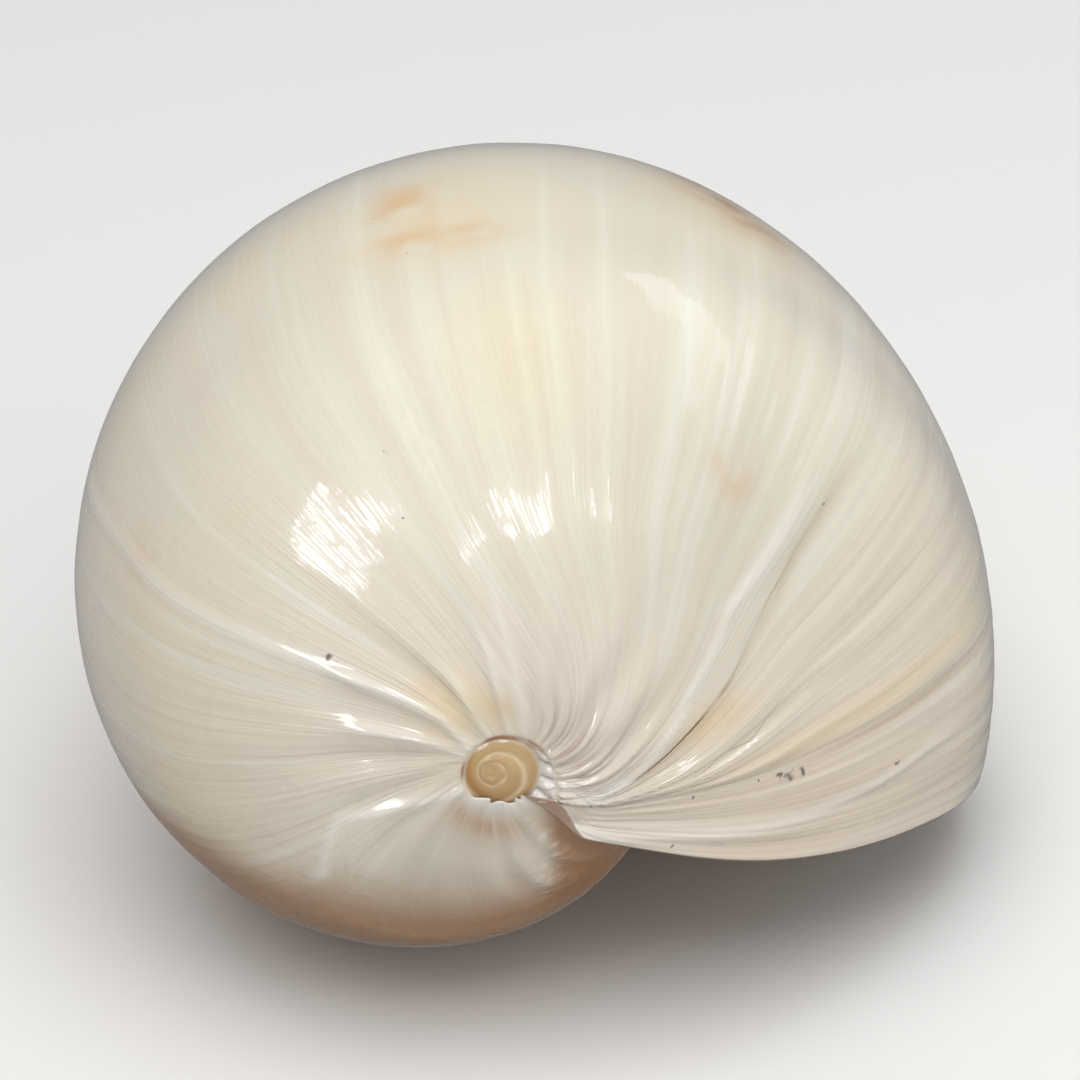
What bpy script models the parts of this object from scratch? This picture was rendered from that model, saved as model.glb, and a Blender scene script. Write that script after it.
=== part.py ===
"""A melon shell: the big, thin-walled, nearly round shell of a volute sea snail.

The whole shell is one grown piece. Its surface is a single sheet, drawn as one growth line after
another. The sheet starts deep inside on the wall of the earlier whorl, comes out through the mouth,
goes once round the outside to the lip, turns over the lip's rim and runs back inside again.
"""

import math

import bmesh
import bpy
from mathutils import Matrix, Vector

MM = 0.001

# A growth line runs from the suture beside the apex, over the shoulder and down to the front end.
# Each station on it has the number of columns up to the next station, and how far, in degrees, the
# line trails behind its start at the suture. Then it has the radius from the coil's axis and the
# depth behind the apex, in mm, on four sections of the last whorl: where it starts, and one third
# of a turn, two thirds and a full turn later.
STATIONS = [
    (3, 0, (6.0, 1.0), (6.0, 0.6), (6.3, 0.0), (8.9, -0.8)),
    (5, 15, (16.5, 2.0), (16.0, 0.2), (17.0, -1.0), (18.5, -1.8)),
    (5, 27, (24.0, 9.0), (29.5, 4.5), (38.5, 5.0), (46.5, 5.0)),
    (5, 33, (30.0, 20.0), (44.0, 16.0), (61.5, 20.0), (75.0, 24.0)),
    (5, 33, (34.5, 36.0), (56.0, 38.0), (71.5, 46.0), (92.5, 54.0)),
    (6, 31, (36.0, 58.0), (57.0, 66.0), (73.0, 76.0), (86.0, 88.0)),
    (8, 28, (30.5, 86.0), (46.5, 98.0), (62.0, 110.0), (75.5, 122.0)),
    (7, 26, (19.5, 118.0), (30.0, 130.0), (44.0, 142.0), (56.5, 154.0)),
    (5, 42, (15.0, 152.0), (18.5, 161.0), (23.0, 169.0), (30.0, 177.0)),
    (0, 150, (10.0, 176.0), (10.0, 176.0), (10.0, 176.0), (10.0, 176.0)),
]
FIRST_SECTION = -375.0
SECTION_STEP = 120.0
RADIUS_EASE = 1.2
DEPTH_EASE = 0.5

OUTSIDE_LINES = 64
INSIDE_LINES = 10
TURN = 360.0
HOLLOW_END = 270.0

LIP_WALL = 2.4
INNER_WALL = 3.4
LIP_ROUNDING = 0.8
CORNER_WALL = 6.0
APEX_END = (1.0, 1.8)
FRONT_END = (9.0, 8.2)
ENDS_DRAWN_IN = 0.6
CORNER_BLEND = 0.8

PLEATS = 17
PLEAT_HEIGHT = 0.5
PLEAT_STATION = 1.3
PLEAT_REACH = 0.8

NOTCH_STATION = 8.45
NOTCH_WIDTH = 0.42
NOTCH_DEPTH = 8.0
NOTCH_LENGTH = 45.0
FASCIOLE_GROOVE = 2.0

FOLD_STATIONS = (6.35, 7.05, 7.75)
FOLD_HEIGHT = 3.2
FOLD_WIDTH = 0.24
FOLD_CLIMB = 0.0035
FOLD_END = -345.0
FOLD_FADE = 40.0

NUCLEUS_RADIUS = 5.5
NUCLEUS_GROOVE = 1.8
NUCLEUS_TOP = -0.6
NUCLEUS_RINGS = (1.0, 0.8, 0.52, 0.24)
TIP_RINGS = ((8.6, 178.2), (5.2, 180.0))
TIP_DEPTH = 180.6

SUTURE_BEARING = -51.0
REST_ROLL = 4.9
REST_PITCH = -9.4
WEAR = 0.5


def smooth(share):
    """0 below 0, 1 above 1, and an even S-curve between them."""
    share = min(1.0, max(0.0, share))
    return share * share * (3.0 - 2.0 * share)


def bell(offset, width):
    return math.exp(-((offset / width) ** 2))


def through(values, station):
    """A smooth curve through one value for each station."""
    last = len(values) - 1
    low = min(int(station), last - 1)
    t = station - low
    p1, p2 = values[low], values[low + 1]
    p0 = values[low - 1] if low > 0 else 2.0 * p1 - p2
    p3 = values[low + 2] if low + 2 <= last else 2.0 * p2 - p1
    return 0.5 * (
        2.0 * p1
        + (p2 - p0) * t
        + (2.0 * p0 - 5.0 * p1 + 4.0 * p2 - p3) * t * t
        + (3.0 * p1 - p0 - 3.0 * p2 + p3) * t**3
    )


def round_the_whorl(sections, bearing, ease):
    """A cubic through the four sections' values. Before the first of them it eases to a constant."""
    a, b, c, d = sections
    t = (bearing - FIRST_SECTION) / SECTION_STEP
    if t < 0.0:
        slope = (-11.0 * a + 18.0 * b - 9.0 * c + 2.0 * d) / 6.0
        return a + slope * ease * (math.exp(t / ease) - 1.0)
    return (
        -a * (t - 1.0) * (t - 2.0) * (t - 3.0) / 6.0
        + b * t * (t - 2.0) * (t - 3.0) / 2.0
        - c * t * (t - 1.0) * (t - 3.0) / 2.0
        + d * t * (t - 1.0) * (t - 2.0) / 6.0
    )


def lag(station):
    return through([row[1] for row in STATIONS], station)


def section(bearing, station):
    """The smooth whorl's radius and depth at a bearing round the axis, in degrees."""
    radii, depths = [], []
    for number in range(2, 6):
        radii.append(through([math.log(row[number][0]) for row in STATIONS], station))
        depths.append(through([row[number][1] for row in STATIONS], station))
    radius = math.exp(round_the_whorl(radii, bearing, RADIUS_EASE))
    return radius, round_the_whorl(depths, bearing, DEPTH_EASE)


def folds(bearing, station):
    """The oblique ridges on the columella, which climb as they wind inwards."""
    fade = smooth((FOLD_END - bearing) / FOLD_FADE)
    climb = FOLD_CLIMB * (bearing - FIRST_SECTION)
    return FOLD_HEIGHT * fade * sum(bell(station - s - climb, FOLD_WIDTH) for s in FOLD_STATIONS)


def pleats(growth, station):
    """Low folds that radiate from the suture and die out over the shoulder."""
    wave = math.cos(math.radians(PLEATS * growth))
    wave *= 0.7 + 0.3 * math.sin(math.radians(3.0 * growth))
    rise = smooth(station / 0.5)
    return PLEAT_HEIGHT * rise * wave * bell(station - PLEAT_STATION, PLEAT_REACH)


def notch(growth, station):
    """How far the front edge is drawn back at the siphonal notch, and the groove of old notches."""
    fresh = NOTCH_DEPTH * math.exp(growth / NOTCH_LENGTH)
    return (FASCIOLE_GROOVE + fresh) * bell(station - NOTCH_STATION, NOTCH_WIDTH)


def place(bearing, radius, depth):
    """A point in mm: the axis runs along Y, with the apex towards -Y."""
    angle = math.radians(SUTURE_BEARING - bearing)
    return Vector((radius * math.cos(angle), depth, radius * math.sin(angle)))


def outer_point(growth, station):
    bearing = growth - lag(station)
    radius, depth = section(bearing, station)
    radius += folds(bearing, station)
    depth -= notch(growth, station)
    depth -= pleats(growth, station)
    return place(bearing, radius, depth)


def inward(growth, station):
    """The unit normal into the wall, from two small steps along the smooth surface."""
    step = 0.02
    here = min(max(station, step), len(STATIONS) - 1 - step)
    along = outer_point(growth, here + step) - outer_point(growth, here - step)
    across = outer_point(growth + 1.0, here) - outer_point(growth - 1.0, here)
    return along.cross(across).normalized()


def columns():
    """The station coordinate of every column."""
    found = []
    for number, row in enumerate(STATIONS):
        found += [number + step / row[0] for step in range(row[0])]
    return found + [float(len(STATIONS) - 1)]


def inside(station, share):
    """The station and bearing of a point inside the hollow, whose two ends draw together inwards."""
    drawn = smooth(share / ENDS_DRAWN_IN)
    start = APEX_END[0] + drawn * (APEX_END[1] - APEX_END[0])
    end = FRONT_END[0] + drawn * (FRONT_END[1] - FRONT_END[0])
    across = (station - APEX_END[0]) / (FRONT_END[0] - APEX_END[0])
    moved = start + across * (end - start)
    return moved, -lag(moved) - share * (HOLLOW_END - lag(moved)), min(moved - start, end - moved)


def earlier_wall(station, share):
    """The hollow's inner side: the outside of the whorl before, and the columella."""
    moved, bearing, _ = inside(station, share)
    bearing -= TURN
    radius, depth = section(bearing, moved)
    radius += folds(bearing, moved)
    depth -= FASCIOLE_GROOVE * bell(moved - NOTCH_STATION, NOTCH_WIDTH)
    corner = smooth((moved - 7.6) / 1.4) * smooth(share / 0.25)
    return place(bearing, radius, depth - CORNER_WALL * corner)


def lip_wall(station, share):
    """The hollow's outer side: the outside pushed in by the wall's thickness."""
    moved, bearing, from_end = inside(station, share)
    growth = bearing + lag(moved)
    open_share = smooth(from_end / CORNER_BLEND)
    wall = (LIP_WALL + (INNER_WALL - LIP_WALL) * smooth(share / 0.3)) * open_share
    point = outer_point(growth, moved) + wall * inward(growth, moved)
    return earlier_wall(station, share).lerp(point, open_share)


def sheet_lines():
    """Every line of the sheet in order, as (first column, points)."""
    all_columns = columns()
    corner = STATIONS[0][0]
    inner = all_columns[corner:]
    lines = []
    for number in range(INSIDE_LINES, 0, -1):
        share = number / INSIDE_LINES
        lines.append((corner, [earlier_wall(s, share) for s in inner]))
    for number in range(OUTSIDE_LINES + 1):
        growth = TURN * (number / OUTSIDE_LINES - 1.0)
        lines.append((0, [outer_point(growth, s) for s in all_columns]))
    lines.append((0, rim_line(all_columns, corner)))
    for number in range(INSIDE_LINES + 1):
        share = number / INSIDE_LINES
        lines.append((corner, [lip_wall(s, share) for s in inner]))
    return lines


def rim_line(all_columns, corner):
    """The crest of the lip, half way through the wall and a little further forward."""
    crest = []
    for number, station in enumerate(all_columns):
        outside = outer_point(0.0, station)
        if number <= corner:
            inner = outer_point(-TURN, station)
        else:
            inner = lip_wall(station, 0.0)
        ahead = (outer_point(1.0, station) - outer_point(-1.0, station)).normalized()
        taper = smooth((9.0 - station) / 0.5) * smooth(station / 0.8)
        crest.append((outside + inner) * 0.5 + ahead * LIP_ROUNDING * taper)
    return crest


def add_strip(mesh, first, second):
    """Faces between two lines, each a (first column, vertices) pair."""
    start = max(first[0], second[0])
    end = first[0] + len(first[1])
    for column in range(start, end - 1):
        a, b = first[1][column - first[0]], first[1][column + 1 - first[0]]
        c, d = second[1][column + 1 - second[0]], second[1][column - second[0]]
        corners = [v for n, v in enumerate((a, b, c, d)) if v not in (a, b, c, d)[:n]]
        if len(corners) > 2:
            mesh.faces.new(corners)


def add_ring(mesh, outer, inner):
    for number in range(len(outer)):
        after = (number + 1) % len(outer)
        mesh.faces.new((outer[number], outer[after], inner[after], inner[number]))


def add_cap(mesh, loop, rings, middle):
    """Closes a loop with rings of points and a middle point."""
    for ring in rings:
        inner = [mesh.verts.new(point) for point in ring]
        add_ring(mesh, loop, inner)
        loop = inner
    centre = mesh.verts.new(middle)
    for number in range(len(loop)):
        mesh.faces.new((loop[number], loop[(number + 1) % len(loop)], centre))


def apex_rings(loop):
    """The low dome of the first whorls, inside the suture."""
    rings = [[] for _ in NUCLEUS_RINGS]
    for step in range(len(loop)):
        bearing = TURN * (step / len(loop) - 1.0)
        for ring, share in zip(rings, NUCLEUS_RINGS):
            depth = NUCLEUS_TOP + (NUCLEUS_GROOVE - NUCLEUS_TOP) * share**2.4
            ring.append(place(bearing, NUCLEUS_RADIUS * share, depth))
    return rings


def tip_rings(loop):
    """The rounded end of the columella."""
    rings = []
    for radius, depth in TIP_RINGS:
        ways = [Vector((v.co.x, 0.0, v.co.z)).normalized() for v in loop]
        rings.append([way * radius + Vector((0.0, depth, 0.0)) for way in ways])
    return rings


def face_out(mesh):
    """Turns every face to look out of the solid."""
    bmesh.ops.recalc_face_normals(mesh, faces=mesh.faces)
    if mesh.calc_volume(signed=True) < 0.0:
        bmesh.ops.reverse_faces(mesh, faces=mesh.faces)


def make_shell():
    mesh = bmesh.new()
    lines = sheet_lines()
    made = []
    for first, points in lines:
        made.append((first, [mesh.verts.new(p) for p in points]))
    corner = STATIONS[0][0]
    start = INSIDE_LINES
    end = start + OUTSIDE_LINES
    mouth, lip, rim = made[start][1], made[end][1], made[end + 1][1]
    inner = made[end + 2 :]

    # The lip, the rim and both walls meet at the columella's tip.
    tip = mouth[-1]
    for line in (lip, rim, inner[0][1]):
        mesh.verts.remove(line[-1])
        line[-1] = tip
    # Beside the suture the rim stands on the earlier whorl, so its inner edge is the mouth's line.
    mesh.verts.remove(inner[0][1][0])
    inner[0][1][0] = mouth[corner]
    inner[0] = (0, mouth[:corner] + inner[0][1])
    made[end + 2] = inner[0]
    # Further in, the two walls of the hollow meet in a corner at both of their ends.
    for number in range(1, INSIDE_LINES + 1):
        wall, back = inner[number][1], made[INSIDE_LINES - number][1]
        for last in (0, -1):
            mesh.verts.remove(wall[last])
            wall[last] = back[last]

    for number in range(end + 2):
        add_strip(mesh, made[number], made[number + 1])
    for number in range(INSIDE_LINES):
        add_strip(mesh, inner[number], inner[number + 1])
    # The hollow's far end is closed straight across.
    add_strip(mesh, inner[-1], made[0])

    suture = [line[1][0] for line in made[start : end + 2]]
    add_cap(mesh, suture, apex_rings(suture), Vector((0.0, NUCLEUS_TOP, 0.0)))
    front = [line[1][-1] for line in made[start:end]]
    add_cap(mesh, front, tip_rings(front), Vector((0.0, TIP_DEPTH, 0.0)))
    face_out(mesh)
    return mesh


def rest(mesh):
    """Turns the shell to lie on its mouth, with its base on the ground and the apex to the front."""
    roll = Matrix.Rotation(math.radians(REST_ROLL), 4, "Y")
    pitch = Matrix.Rotation(math.radians(REST_PITCH), 4, "X")
    bmesh.ops.transform(mesh, matrix=Matrix.Scale(MM, 4) @ pitch @ roll, verts=mesh.verts)
    low = [min(v.co[axis] for v in mesh.verts) for axis in range(3)]
    high = [max(v.co[axis] for v in mesh.verts) for axis in range(3)]
    shift = Vector((-(low[0] + high[0]) / 2.0, -(low[1] + high[1]) / 2.0, -low[2] - WEAR * MM))
    bmesh.ops.translate(mesh, vec=shift, verts=mesh.verts)
    whole = mesh.verts[:] + mesh.edges[:] + mesh.faces[:]
    bmesh.ops.bisect_plane(mesh, geom=whole, plane_co=(0, 0, 0), plane_no=(0, 0, 1), clear_inner=True)
    bmesh.ops.holes_fill(mesh, edges=[edge for edge in mesh.edges if edge.is_boundary])
    face_out(mesh)


def shell_material():
    material = bpy.data.materials.new("shell_ivory")
    material.use_nodes = True
    shader = material.node_tree.nodes["Principled BSDF"]
    shader.inputs["Base Color"].default_value = (0.78, 0.70, 0.58, 1.0)
    shader.inputs["Roughness"].default_value = 0.22
    shader.inputs["Metallic"].default_value = 0.0
    return material


def main():
    for old in list(bpy.data.objects):
        bpy.data.objects.remove(old)
    mesh = make_shell()
    rest(mesh)
    data = bpy.data.meshes.new("shell")
    mesh.to_mesh(data)
    mesh.free()
    data.shade_smooth()
    data.set_sharp_from_angle(angle=math.radians(50.0))
    data.materials.append(shell_material())
    shell = bpy.data.objects.new("shell", data)
    bpy.context.scene.collection.objects.link(shell)


main()
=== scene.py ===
"""A polished melon shell, seen from its apex end, lying on its mouth on a pale floor."""

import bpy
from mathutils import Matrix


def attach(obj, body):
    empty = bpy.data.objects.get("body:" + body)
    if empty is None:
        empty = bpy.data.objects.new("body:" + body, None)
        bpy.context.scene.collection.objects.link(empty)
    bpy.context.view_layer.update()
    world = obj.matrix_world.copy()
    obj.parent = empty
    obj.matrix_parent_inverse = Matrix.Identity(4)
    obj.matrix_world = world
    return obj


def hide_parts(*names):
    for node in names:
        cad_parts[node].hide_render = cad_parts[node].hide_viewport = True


bl_info = {
    "name": "Melon Shell",
    "version": (1, 0, 0),
    "blender": (4, 5, 0),
    "location": "3D View > Sidebar > Melon Shell",
    "description": "Rolls a polished melon shell from a flat sheet and sets it on a pale floor",
    "category": "Add Mesh",
}

import math

import bpy
import numpy as np
from mathutils import Matrix, Vector

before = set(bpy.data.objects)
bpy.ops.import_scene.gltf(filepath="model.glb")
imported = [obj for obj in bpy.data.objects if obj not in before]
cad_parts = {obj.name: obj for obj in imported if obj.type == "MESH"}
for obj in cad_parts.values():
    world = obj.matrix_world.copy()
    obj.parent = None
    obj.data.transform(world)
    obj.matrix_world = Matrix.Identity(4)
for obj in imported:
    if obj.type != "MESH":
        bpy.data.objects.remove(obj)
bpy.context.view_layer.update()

MM = 0.001
TURN = 360.0

# The shell's form, the same as the solid's. Each station along a growth line has its lag in degrees,
# and its radius and depth in mm on four sections of the last whorl.
STATIONS = (
    (0, (6.0, 1.0), (6.0, 0.6), (6.3, 0.0), (8.9, -0.8)),
    (15, (16.5, 2.0), (16.0, 0.2), (17.0, -1.0), (18.5, -1.8)),
    (27, (24.0, 9.0), (29.5, 4.5), (38.5, 5.0), (46.5, 5.0)),
    (33, (30.0, 20.0), (44.0, 16.0), (61.5, 20.0), (75.0, 24.0)),
    (33, (34.5, 36.0), (56.0, 38.0), (71.5, 46.0), (92.5, 54.0)),
    (31, (36.0, 58.0), (57.0, 66.0), (73.0, 76.0), (86.0, 88.0)),
    (28, (30.5, 86.0), (46.5, 98.0), (62.0, 110.0), (75.5, 122.0)),
    (26, (19.5, 118.0), (30.0, 130.0), (44.0, 142.0), (56.5, 154.0)),
    (42, (15.0, 152.0), (18.5, 161.0), (23.0, 169.0), (30.0, 177.0)),
    (150, (10.0, 176.0), (10.0, 176.0), (10.0, 176.0), (10.0, 176.0)),
)
LAGS = np.array([row[0] for row in STATIONS], float)
RADII = np.log([[pair[0] for pair in row[1:]] for row in STATIONS])
DEPTHS = np.array([[pair[1] for pair in row[1:]] for row in STATIONS])
FIRST_SECTION, SECTION_STEP = -375.0, 120.0
RADIUS_EASE, DEPTH_EASE = 1.2, 0.5
HOLLOW_END = 270.0
CORNER_WALL = 6.0
HOLLOW_APEX, HOLLOW_FRONT = (1.0, 1.8), (9.0, 8.2)
LIP_WALL, INNER_WALL = 2.4, 3.4
ENDS_DRAWN_IN, CORNER_BLEND = 0.6, 0.8
NOTCH_STATION, NOTCH_WIDTH, NOTCH_DEPTH, NOTCH_LENGTH = 8.45, 0.42, 8.0, 45.0
FASCIOLE_GROOVE = 2.0
FOLD_STATIONS, FOLD_WIDTH, FOLD_CLIMB = (6.35, 7.05, 7.75), 0.24, 0.0035
FOLD_END, FOLD_FADE = -345.0, 40.0
PLEATS, PLEAT_HEIGHT, PLEAT_STATION, PLEAT_REACH = 17, 0.5, 1.3, 0.8
SUTURE_BEARING = -51.0
REST_TURN = np.array(
    Matrix.Rotation(math.radians(-9.4), 3, "X") @ Matrix.Rotation(math.radians(4.9), 3, "Y")
)
REST_SHIFT = np.array((-11.532, -87.189, 55.055))

# The domed first shell at the apex with its spiral, the groove round it, the crumpled strip and the frill
# beside it, the front tip, and the rounding of the lip.
NUCLEUS_RADIUS, GROOVE_DEPTH, DOME_TOP, NUCLEUS_CENTRE = 5.75, 1.2, -0.7, (-2.1, 1.1)
GROOVE_FALL = 0.25
SPIRAL_START, SPIRAL_GROWTH, STRIP_CRUMPLE = 0.66, 2.2, 1.3
FRILL_HEIGHT, FRILL_LEAN, FRILL_LOBE, FRILL_SEED = 1.4, 1.5, 27.0, 31.0
LUMP_BREADTH, LUMP_SEED, CRUMPLE_SEED = 21.0, 29.0, 23.0
TIP_RADII, TIP_DEPTHS = (10.0, 9.4, 8.2, 6.0, 3.0, 0.0), (176.0, 177.4, 178.7, 179.8, 180.4, 180.6)
LIP_BULGE, LIP_SET_BACK, LIP_SET_BACK_END = 0.8, 22.0, 0.8

# Growth ridges as (breadth in degrees, grains for a station, seed, height in mm all over, more of it near
# the lip, more of it near the suture). The broad dents have their breadth in mm.
RIDGE_GRAINS = (
    (6.3, 0.8, 3.0, 0.07, 0.24, 0.10), (3.1, 1.1, 7.0, 0.03, 0.32, 0.08), (1.7, 1.7, 11.0, 0.01, 0.22, 0.0),
)
DENT_BREADTH, DENT_GRAINS, DENT_SEED, DENT_HEIGHT = 23.0, 1.6, 17.0, 0.16

# Lines of the sheet, and its columns between one station and the next.
DOME_COLUMNS = 26
STRIP_COLUMNS = 8
STATION_COLUMNS = (24, 24, 26, 26, 22, 18, 14, 12, 14)
TIP_COLUMNS = 5
OUTSIDE_LINES = 360
INSIDE_LINES = 30
RIM_LINES = 6
LINE_CROWDING = 1.35

# Ridges across the whorl as (station, growth) points, with their width and height in mm.
RIDGES = (
    (((0.0, -188.0), (0.77, -172.0), (1.6, -172.0)), 0.9, 0.6),
    (((1.6, -172.0), (3.6, -172.0), (4.4, -174.0)), 1.1, 0.3),
    (((0.0, -254.0), (0.96, -232.0), (1.67, -224.0), (2.2, -236.0)), 1.0, 0.45),
    (((0.0, -200.0), (0.8, -190.0), (1.3, -189.0)), 0.8, 0.4),
    (((0.06, -160.0), (0.7, -154.0), (1.0, -150.0)), 0.8, 0.35),
    (((0.0, -134.0), (0.6, -134.0), (1.2, -130.0)), 0.7, 0.3),
    (((0.0, -116.0), (0.8, -120.0), (1.4, -121.0)), 0.7, 0.25),
    (((0.2, -24.0), (0.45, -24.0), (1.09, -32.0), (1.54, -50.0), (1.93, -58.0), (2.4, -58.0)), 0.9, 0.6),
    (((0.7, -1.5), (0.9, -2.0), (1.5, -6.0), (2.1, -8.0), (2.8, -12.0)), 0.9, 0.3),
)
# Old breaks, where the shell steps down, as points with their width and drop in mm.
STEPS = (
    (((1.16, -32.0), (1.48, -40.0), (1.67, -44.0), (1.93, -50.0), (2.38, -54.0), (2.7, -54.0)), 2.2, 0.4),
    (((0.4, -15.0), (1.86, -18.0), (2.3, -20.0), (3.6, -20.0)), 3.0, 0.2),
)
# Fine cracks as points with their width in degrees and strength, and pits as (growth, station, reach in mm).
CRACKS = (
    (((1.16, -32.0), (1.48, -40.0), (1.67, -44.0)), 0.8, 1.0),
    (((1.67, -44.0), (1.93, -50.0), (2.38, -54.0), (2.6, -54.0)), 0.35, 0.3),
    (((1.5, -26.0), (1.62, -29.0), (1.78, -30.0), (1.9, -34.0)), 0.3, 0.45),
)
PITS = (
    (-128.0, 2.57, 0.48), (-132.0, 2.19, 0.40), (-166.0, 2.83, 0.56), (-168.0, 1.86, 0.72),
    (-116.0, 3.79, 0.48), (-120.0, 4.24, 0.56), (-54.0, 2.66, 0.72), (-18.0, 1.48, 0.45),
    (-19.0, 1.80, 0.50), (-18.2, 1.91, 0.80), (-18.0, 1.96, 1.10), (-17.6, 2.02, 0.85),
    (-12.0, 2.57, 0.60), (-2.5, 1.45, 0.50), (-103.0, 1.55, 0.40),
)
# Stains as (growth, station, reach across in mm, reach along in stations, strength).
STAINS = (
    (-116.0, 4.31, 5.0, 0.22, 1.0), (-116.0, 3.92, 7.0, 0.12, 0.8), (-109.0, 3.86, 6.0, 0.12, 0.9),
    (-78.0, 4.85, 9.0, 0.28, 0.8), (-71.0, 4.5, 8.0, 0.22, 0.7),
    (-72.0, 2.52, 3.0, 0.08, 0.8), (-68.0, 2.43, 3.5, 0.09, 0.7), (-162.0, 1.09, 1.4, 0.10, 0.9),
    (-162.0, 0.94, 1.2, 0.08, 0.7), (-134.0, 0.55, 1.6, 0.18, 0.6), (-172.0, 3.5, 5.0, 0.35, 0.35),
    (-39.0, 1.62, 2.4, 0.12, 0.6),
)
SCORCHES = (
    (-80.0, 4.95, 6.0, 0.14, 0.7), (-76.0, 4.69, 5.0, 0.14, 1.0), (-72.0, 4.5, 5.0, 0.14, 0.8),
)
YELLOWS = (
    (-24.0, 2.44, 2.2, 0.8, 0.5), (-39.0, 1.62, 3.0, 0.22, 0.45), (-105.0, 2.9, 9.0, 0.5, 0.3),
    (-158.0, 0.7, 6.0, 0.5, 0.7),
    (-76.0, 4.7, 14.0, 0.6, 0.5), (-112.0, 4.1, 16.0, 0.5, 0.35),
)

# Where the painted brown shade and the brown glaze of the underside begin, as growths and their stations.
BROWN_BELLY_SHADE_EDGE = ((-345.0, -300.0, -270.0, -240.0, -220.0, -195.0), (0.9, 0.85, 1.05, 1.6, 2.6, 6.0))
GLAZE_EDGE = ((-360.0, -345.0, -335.0, -325.0, -315.0, -300.0), (0.3, 0.5, 0.85, 1.25, 1.6, 2.2))

# Tints as (mark, or None for all over, linear colour or the setting that holds it, strength), and where a
# grain breaks the tint up, also its name and the two ends of its ramp. Each lies over those before it.
GROUND_TINTS = (
    ("pale", "pale", 1.0, "streak", 0.2, 0.7),
    ("blush", "blush", 0.65, "streak", 0.25, 0.6),
    (None, (0.86, 0.83, 0.74), 0.45, "streak", 0.52, 0.75),
    (None, (0.74, 0.62, 0.40), 0.35, "broad", 0.55, 0.8),
)
BODY_TINTS = (
    ("milky", (0.76, 0.68, 0.595), 0.55),
    ("butter", (0.80, 0.62, 0.28), 0.7),
    ("stain", "stain", 0.7, "mottle", 0.3, 0.6),
    ("scorch", (0.44, 0.20, 0.05), 1.0, "cloud", 0.3, 0.6),
    ("mauve", (0.44, 0.33, 0.28), 0.75, "streak", 0.45, 0.62),
    # Painted shade: grey-brown darkening of the underside, with a weaker grey darkening right of the crown.
    ("grey_shade", (0.43, 0.385, 0.32), 0.55),
    # Painted shade: grey-brown darkening in the crease below the frill, beside the first shell.
    ("frill_shade", (0.42, 0.28, 0.18), 1.0, "streak", 0.05, 0.7),
    # Painted shade: brown darkening of the underside, which faces down away from the lights.
    ("brown_belly_shade", (0.37, 0.21, 0.12), 0.85),
    ("glaze", "brown", 0.9),
    ("feather", (0.70, 0.65, 0.57), 0.6, "wisp", 0.45, 0.75),
    ("crest", (0.88, 0.85, 0.80), 0.5),
    ("tear", (0.50, 0.34, 0.20), 0.3),
)
FRILL_TINTS = (("frill", (0.86, 0.84, 0.79), 0.85),)
FIRST_SHELL_TINTS = (
    (None, (0.36, 0.19, 0.06), 0.35, "cloud", 0.45, 0.7),
    ("amber", (0.42, 0.20, 0.05), 0.95),
    ("suture", (0.76, 0.62, 0.42), 0.75),
)
EDGE_TINTS = (
    # Painted shadow in the creases between the strip's lumps.
    ("lump_shadow", (0.40, 0.31, 0.24), 0.8),
    # Painted shadow: red-brown line along the suture, where the last whorl overhangs the first shell.
    ("seam", (0.33, 0.13, 0.05), 0.9, "shadow_grain", 0.34, 0.62),
    ("rim", (0.43, 0.30, 0.225), 1.0),
    ("hollow", (0.72, 0.55, 0.38), 1.0),
)
# Painted shade in the valleys between the fine growth ridges, stronger near the lip.
VALLEY_SHADE_COLOUR, VALLEY_SHADE_TINT, LATE_VALLEY_SHADE_TINT = (0.60, 0.49, 0.40), 0.45, 0.65
LINE_COLOUR, LINE_TINT = (0.50, 0.42, 0.33), 0.10
CRACK_COLOUR = (0.24, 0.13, 0.06)
PIT_COLOUR, PIT_TINT, PIT_RAGGEDNESS = (0.10, 0.085, 0.07), 0.85, 0.0016
BUMP_STRENGTH, BUMP_HEIGHT, GLAZE_BUMP = 0.8, 0.0003, 0.19
WALL_ROUGHNESS = (0.20, 0.36)

CAMERA_PLACE, CAMERA_TURN = (-0.0357, -0.52332, 0.36963), (57.74, 4.04, -6.80)
SHELL_MIDDLE = (0.0, -0.02, 0.05)
FLOOR_RADIUS, FLOOR_GAP = 6.0, 0.0003
WINDOW_TINT = (0.92, 0.93, 1.0)
# Soft lights as (name, azimuth and elevation in degrees, distance, width, height, strength, glossy only).
LIGHTS = (
    ("key", 0.0, 74.0, 1.6, 1.5, 1.5, 3.2, False),
    ("fill", 55.0, 24.0, 1.6, 1.2, 1.0, 1.1, False),
    ("window_left", -36.0, 31.5, 1.2, 0.42, 0.34, 11.5, True),
    ("window_right", 7.8, 34.0, 1.2, 0.26, 0.15, 11.5, True),
    ("window_pane", 16.6, 34.6, 1.2, 0.07, 0.16, 11.5, True),
    ("window_narrow", 20.3, 33.8, 1.2, 0.012, 0.16, 11.5, True),
    ("window_high", 104.0, 45.0, 1.2, 1.6, 0.22, 1.4, True),
)


def smooth(share):
    share = np.clip(share, 0.0, 1.0)
    return share * share * (3.0 - 2.0 * share)


def bell(offset, width):
    return np.exp(-((offset / width) ** 2))


def through(values, station):
    """A smooth curve through one value, or one row of values, for each station."""
    ends = (2.0 * values[:1] - values[1:2], values, 2.0 * values[-1:] - values[-2:-1])
    padded = np.concatenate(ends)
    low = np.clip(station.astype(int), 0, len(values) - 2)
    t = station - low
    if values.ndim > 1:
        t = t[..., None]
    p0, p1, p2, p3 = (padded[low + step] for step in range(4))
    return 0.5 * (
        2.0 * p1
        + (p2 - p0) * t
        + (2.0 * p0 - 5.0 * p1 + 4.0 * p2 - p3) * t**2
        + (3.0 * p1 - p0 - 3.0 * p2 + p3) * t**3
    )


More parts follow.
